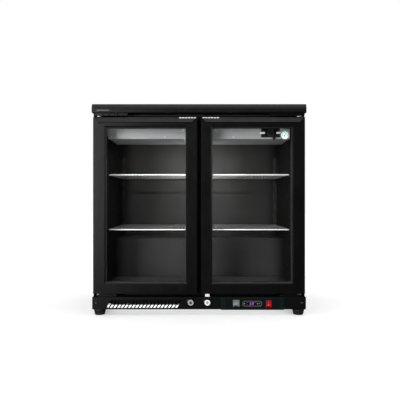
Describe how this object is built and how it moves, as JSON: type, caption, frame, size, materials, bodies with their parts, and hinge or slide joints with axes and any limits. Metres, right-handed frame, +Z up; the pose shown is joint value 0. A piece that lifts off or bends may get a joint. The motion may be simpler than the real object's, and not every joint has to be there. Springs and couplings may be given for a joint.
{
  "type": "undercounter refrigerator",
  "caption": "Black undercounter refrigerator with glass double doors, wire shelves, key locks and a kick panel that holds its switches and temperature controller.",
  "frame": {"origin": "on the floor, below the middle of the worktop", "axes": "+X to the right seen from the front, +Y to the rear, +Z up; the doors face -Y"},
  "size_m": [0.9, 0.52, 0.887],
  "materials": {
    "black_steel": "satin",
    "black_frame": "satin",
    "black_plastic": "satin",
    "control_film": "satin",
    "grey_plastic": "satin",
    "red_plastic": "gloss",
    "clear_glass": "polished",
    "seal_rubber": "matte",
    "foam": "matte",
    "liner_steel": "satin",
    "pale_steel": "satin",
    "galvanised_steel": "satin",
    "shelf_wire": "satin",
    "lock_steel": "polished",
    "fin_aluminium": "satin",
    "lamp_cover": "satin"
  },
  "bodies": {
    "cabinet": {"worktop": "black_steel", "side_panel_left": "black_steel", "side_panel_right": "black_steel", "rear_panel": "galvanised_steel", "insulation": "foam", "inner_liner": "liner_steel", "front_frame": "black_steel", "centre_mullion": "black_steel", "base_pan": "galvanised_steel", "rear_grille": "black_steel", "kick_panel": "black_steel", "upper_hinge_left": "black_steel", "upper_hinge_right": "black_steel", "lower_hinge_left": "black_steel", "lower_hinge_right": "black_steel", "shelf_strip_front_left": "pale_steel", "shelf_strip_front_right": "pale_steel", "shelf_strip_rear_left": "pale_steel", "shelf_strip_rear_right": "pale_steel", "evaporator_cover": "pale_steel", "evaporator_coil": "fin_aluminium", "evaporator_fan_motor": "black_plastic", "lamp_housing": "pale_steel", "lamp_diffuser": "lamp_cover", "compressor": "black_steel", "condenser_coil": "fin_aluminium", "condenser_fan_motor": "black_plastic", "drip_tray": "black_plastic", "mains_inlet": "black_plastic", "control_panel": "control_film", "temperature_controller": "black_plastic", "light_switch_housing": "black_plastic", "power_switch_housing": "black_plastic", "lock_barrel_left": "black_plastic", "lock_barrel_right": "black_plastic"},
    "door_left": {"door_left_frame": "black_frame", "door_left_outer_glass": "clear_glass", "door_left_inner_glass": "clear_glass", "door_left_gasket": "seal_rubber"},
    "door_right": {"door_right_frame": "black_frame", "door_right_outer_glass": "clear_glass", "door_right_inner_glass": "clear_glass", "door_right_gasket": "seal_rubber"},
    "lock_plug_left": {"lock_plug_left": "lock_steel"},
    "lock_bolt_left": {"lock_bolt_left": "lock_steel"},
    "lock_plug_right": {"lock_plug_right": "lock_steel"},
    "lock_bolt_right": {"lock_bolt_right": "lock_steel"},
    "light_switch_rocker": {"light_switch_rocker": "grey_plastic"},
    "power_switch_rocker": {"power_switch_rocker": "red_plastic"},
    "controller_button_set": {"controller_button_set": "grey_plastic"},
    "controller_button_down": {"controller_button_down": "grey_plastic"},
    "controller_button_up": {"controller_button_up": "grey_plastic"},
    "evaporator_fan": {"evaporator_fan": "black_plastic"},
    "condenser_fan": {"condenser_fan": "black_plastic"},
    "shelf_lower": {"shelf_lower": "shelf_wire"},
    "shelf_upper": {"shelf_upper": "shelf_wire"},
    "foot_front_left": {"foot_front_left": "black_plastic"},
    "foot_front_right": {"foot_front_right": "black_plastic"},
    "foot_rear_left": {"foot_rear_left": "black_plastic"},
    "foot_rear_right": {"foot_rear_right": "black_plastic"}
  },
  "joints": [
    {"name": "door_left_hinge", "type": "hinge", "parent": "cabinet", "child": "door_left", "pos_m": [-0.4225, -0.24, 0.46], "axis": [0, 0, -1], "range_deg": [0, 110], "stiffness_Nm_per_rad": 0.6, "springref_deg": -20.05},
    {"name": "door_right_hinge", "type": "hinge", "parent": "cabinet", "child": "door_right", "pos_m": [0.4225, -0.24, 0.46], "axis": [0, 0, 1], "range_deg": [0, 110], "stiffness_Nm_per_rad": 0.6, "springref_deg": -20.05},
    {"name": "lock_left_turn", "type": "hinge", "parent": "cabinet", "child": "lock_plug_left", "pos_m": [-0.035, -0.25, 0.053], "axis": [0, 1, 0], "range_deg": [-90, 0]},
    {"name": "lock_right_turn", "type": "hinge", "parent": "cabinet", "child": "lock_plug_right", "pos_m": [0.035, -0.25, 0.053], "axis": [0, 1, 0], "range_deg": [0, 90]},
    {"name": "lock_left_bolt_slide", "type": "slide", "parent": "cabinet", "child": "lock_bolt_left", "axis": [0, 0, 1], "range_m": [0, 0.016]},
    {"name": "lock_right_bolt_slide", "type": "slide", "parent": "cabinet", "child": "lock_bolt_right", "axis": [0, 0, 1], "range_m": [-0.016, 0]},
    {"name": "light_switch_rock", "type": "hinge", "parent": "cabinet", "child": "light_switch_rocker", "pos_m": [0.1555, -0.2518, 0.051], "axis": [1, 0, 0], "range_deg": [0, 13.75]},
    {"name": "power_switch_rock", "type": "hinge", "parent": "cabinet", "child": "power_switch_rocker", "pos_m": [0.292, -0.2518, 0.0485], "axis": [1, 0, 0], "range_deg": [0, 13.75]},
    {"name": "button_set_press", "type": "slide", "parent": "cabinet", "child": "controller_button_set", "axis": [0, 1, 0], "range_m": [0, 0.0008], "stiffness_N_per_m": 400, "springref_m": -0.001},
    {"name": "button_down_press", "type": "slide", "parent": "cabinet", "child": "controller_button_down", "axis": [0, 1, 0], "range_m": [0, 0.0008], "stiffness_N_per_m": 400, "springref_m": -0.001},
    {"name": "button_up_press", "type": "slide", "parent": "cabinet", "child": "controller_button_up", "axis": [0, 1, 0], "range_m": [0, 0.0008], "stiffness_N_per_m": 400, "springref_m": -0.001},
    {"name": "evaporator_fan_spin", "type": "hinge", "parent": "cabinet", "child": "evaporator_fan", "pos_m": [0.313, -0.14, 0.778], "axis": [0, 1, 0], "continuous": true},
    {"name": "condenser_fan_spin", "type": "hinge", "parent": "cabinet", "child": "condenser_fan", "pos_m": [-0.265, 0.138, 0.14], "axis": [0, 1, 0], "continuous": true},
    {"name": "shelf_lower_lift", "type": "slide", "parent": "cabinet", "child": "shelf_lower", "axis": [0, 0, 1], "range_m": [0, 0.012]},
    {"name": "shelf_upper_lift", "type": "slide", "parent": "cabinet", "child": "shelf_upper", "axis": [0, 0, 1], "range_m": [0, 0.012]},
    {"name": "foot_front_left_turn", "type": "hinge", "parent": "cabinet", "child": "foot_front_left", "pos_m": [-0.421, -0.23, 0.02], "axis": [0, 0, 1], "continuous": true},
    {"name": "foot_front_right_turn", "type": "hinge", "parent": "cabinet", "child": "foot_front_right", "pos_m": [0.421, -0.23, 0.02], "axis": [0, 0, 1], "continuous": true},
    {"name": "foot_rear_left_turn", "type": "hinge", "parent": "cabinet", "child": "foot_rear_left", "pos_m": [-0.421, 0.215, 0.02], "axis": [0, 0, 1], "continuous": true},
    {"name": "foot_rear_right_turn", "type": "hinge", "parent": "cabinet", "child": "foot_rear_right", "pos_m": [0.421, 0.215, 0.02], "axis": [0, 0, 1], "continuous": true}
  ],
  "couplings": [
    {"joint": "lock_left_turn", "follows": "lock_left_bolt_slide", "rad_per_m": -98.17},
    {"joint": "lock_right_turn", "follows": "lock_right_bolt_slide", "rad_per_m": -98.17}
  ]
}
